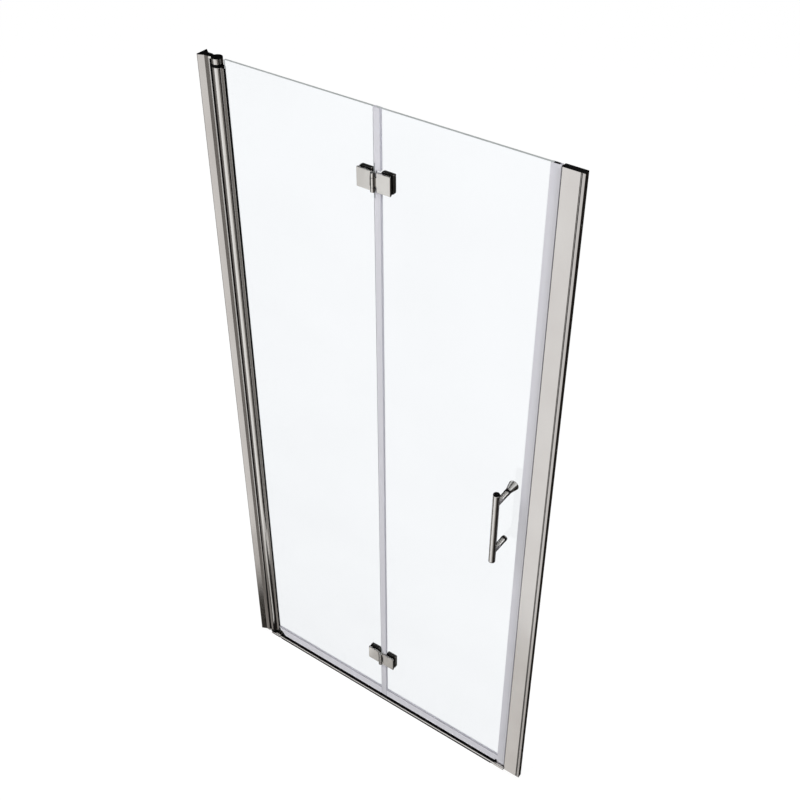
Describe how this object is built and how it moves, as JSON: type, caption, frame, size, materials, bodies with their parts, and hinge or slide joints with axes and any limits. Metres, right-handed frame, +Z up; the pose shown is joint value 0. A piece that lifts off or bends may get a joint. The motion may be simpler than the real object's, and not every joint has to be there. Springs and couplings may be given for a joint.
{
  "type": "pivot shower door",
  "caption": "Frameless bi-fold pivot shower door with clear glass leaves, brushed nickel wall profiles, glass hinges, a bar handle and a low threshold.",
  "frame": {"origin": "middle of the opening, on the middle plane of the glass, at the underside of the threshold", "axes": "+X along the opening from the pivot side to the latch side, +Y into the shower, +Z up"},
  "size_m": [0.914, 0.0885, 1.8315],
  "materials": {
    "brushed_nickel": "satin",
    "steel_screws": "satin",
    "black_plastic": "matte",
    "black_rubber": "matte",
    "clear_vinyl": "translucent",
    "clear_glass": "polished"
  },
  "bodies": {
    "frame": {"left_wall_channel": "brushed_nickel", "pivot_post": "brushed_nickel", "post_fixing_screws": "steel_screws", "post_wiper_seal": "black_rubber", "left_top_cap": "black_plastic", "top_pivot_bracket": "brushed_nickel", "top_pivot_pin": "steel_screws", "bottom_pivot_bracket": "black_plastic", "bottom_pivot_pin": "steel_screws", "bracket_screws": "steel_screws", "right_wall_channel": "brushed_nickel", "right_jamb_profile": "brushed_nickel", "jamb_fixing_screws": "steel_screws", "jamb_magnet": "black_rubber", "right_top_cap": "black_plastic", "screw_covers": "black_plastic", "threshold_rail": "brushed_nickel", "threshold_water_bar": "black_rubber", "threshold_left_end": "brushed_nickel", "threshold_right_end": "brushed_nickel"},
    "pivot_leaf": {"pivot_tube": "brushed_nickel", "top_pivot_bush": "black_plastic", "bottom_pivot_bush": "black_plastic", "tube_glazing_gasket": "black_rubber", "tube_lip_cap": "black_plastic", "pivot_leaf_glass": "clear_glass", "pivot_leaf_bottom_seal": "clear_vinyl", "upper_hinge_left_plate": "brushed_nickel", "lower_hinge_left_plate": "brushed_nickel", "left_back_plates": "brushed_nickel", "left_hinge_gaskets": "black_rubber", "left_hinge_screws": "steel_screws", "left_hinge_sleeves": "black_plastic", "upper_hinge_pin": "steel_screws", "upper_hinge_washers": "black_plastic"},
    "fold_leaf": {"fold_leaf_glass": "clear_glass", "fold_leaf_bottom_seal": "clear_vinyl", "seal_end_clip": "black_plastic", "middle_seal": "clear_vinyl", "edge_seal": "clear_vinyl", "edge_magnet": "black_rubber", "upper_hinge_right_plate": "brushed_nickel", "lower_hinge_right_plate": "brushed_nickel", "right_back_plates": "brushed_nickel", "right_hinge_gaskets": "black_rubber", "right_hinge_screws": "steel_screws", "right_hinge_sleeves": "black_plastic", "lower_hinge_pin": "steel_screws", "lower_hinge_washers": "black_plastic", "handle_bar": "brushed_nickel", "handle_standoffs": "brushed_nickel", "handle_washers": "black_rubber", "handle_sleeves": "black_plastic", "handle_stud": "steel_screws", "lower_handle_bolt": "brushed_nickel", "inside_knob": "brushed_nickel"}
  },
  "joints": [
    {"name": "leaf_pivot", "type": "hinge", "parent": "frame", "child": "pivot_leaf", "pos_m": [-0.412, 0, 0.9], "axis": [0, 0, 1], "range_deg": [0, 90]},
    {"name": "leaf_fold", "type": "hinge", "parent": "pivot_leaf", "child": "fold_leaf", "pos_m": [-0.00375, -0.0106, 0.9], "axis": [0, 0, 1], "range_deg": [-165, 0]}
  ]
}
